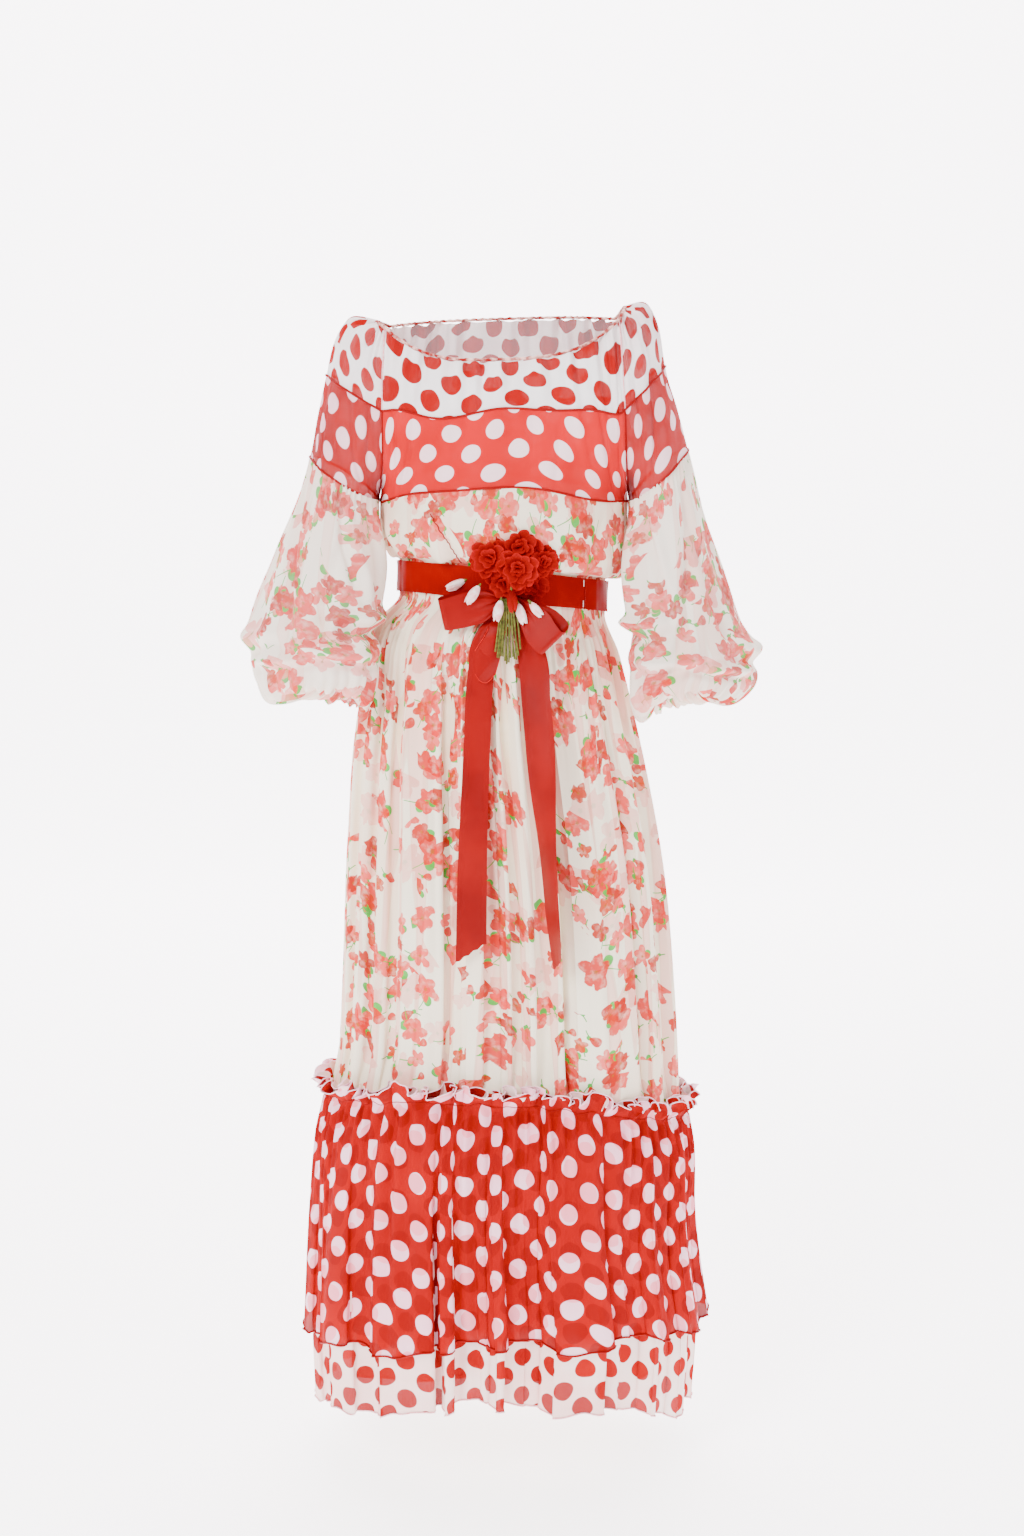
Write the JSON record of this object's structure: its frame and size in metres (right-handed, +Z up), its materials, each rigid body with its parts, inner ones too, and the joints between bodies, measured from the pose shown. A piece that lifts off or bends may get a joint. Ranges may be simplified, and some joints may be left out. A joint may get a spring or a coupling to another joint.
{
  "type": "maxi dress",
  "caption": "Long raglan peasant dress of sheer printed cloth, held by its wearer: gathered neck, balloon sleeves, ribbon belt with bow and posy, double flounce.",
  "frame": {"origin": "middle of the neckline, half way between its front and back, where the wearer's shoulders hold the dress", "axes": "+Z up, the front faces -Y, the wearer's left arm is at +X"},
  "size_m": [0.6403, 0.3596, 1.4451],
  "materials": {
    "floral_chiffon": "sheer cream chiffon with scattered coral and orange blossoms",
    "white_dotted_chiffon": "sheer white chiffon with red dots",
    "red_dotted_chiffon": "sheer red chiffon with white dots",
    "slip_lining": "cream lining cloth, faintly glossy",
    "ribbon_satin": "red satin ribbon",
    "binding_and_thread": "dark red thread and narrow binding",
    "posy_silk": "red silk petals",
    "posy_bud": "white silk buds",
    "posy_stem": "olive stems wound in tape"
  },
  "bodies": {
    "root": {"balloon_sleeve_left": "floral_chiffon", "balloon_sleeve_right": "floral_chiffon", "band_back": "red_dotted_chiffon", "band_front": "red_dotted_chiffon", "band_sleeve_left": "red_dotted_chiffon", "band_sleeve_right": "red_dotted_chiffon", "belt": "ribbon_satin", "bodice_back": "floral_chiffon", "bodice_front": "floral_chiffon", "bow_knot": "ribbon_satin", "bow_loop_left": "ribbon_satin", "bow_loop_right": "ribbon_satin", "bow_tail_left": "ribbon_satin", "bow_tail_right": "ribbon_satin", "cuff_left": "floral_chiffon", "cuff_right": "floral_chiffon", "flounce": "red_dotted_chiffon", "neck_binding": "binding_and_thread", "posy_bloom_1": "posy_silk", "posy_bloom_2": "posy_silk", "posy_bloom_3": "posy_silk", "posy_bloom_4": "posy_silk", "posy_bloom_5": "posy_silk", "posy_bloom_6": "posy_silk", "posy_bud_1": "posy_bud", "posy_bud_2": "posy_bud", "posy_bud_3": "posy_bud", "posy_bud_4": "posy_bud", "posy_bud_5": "posy_bud", "posy_stem_1": "posy_stem", "posy_stem_2": "posy_stem", "posy_stem_3": "posy_stem", "posy_stem_4": "posy_stem", "posy_stem_5": "posy_stem", "posy_stem_6": "posy_stem", "posy_stem_7": "posy_stem", "skirt_back": "floral_chiffon", "skirt_front": "floral_chiffon", "slip_bodice": "slip_lining", "slip_skirt": "slip_lining", "under_flounce": "white_dotted_chiffon", "yoke_back": "white_dotted_chiffon", "yoke_front": "white_dotted_chiffon", "yoke_sleeve_left": "white_dotted_chiffon", "yoke_sleeve_right": "white_dotted_chiffon"}
  },
  "joints": []
}
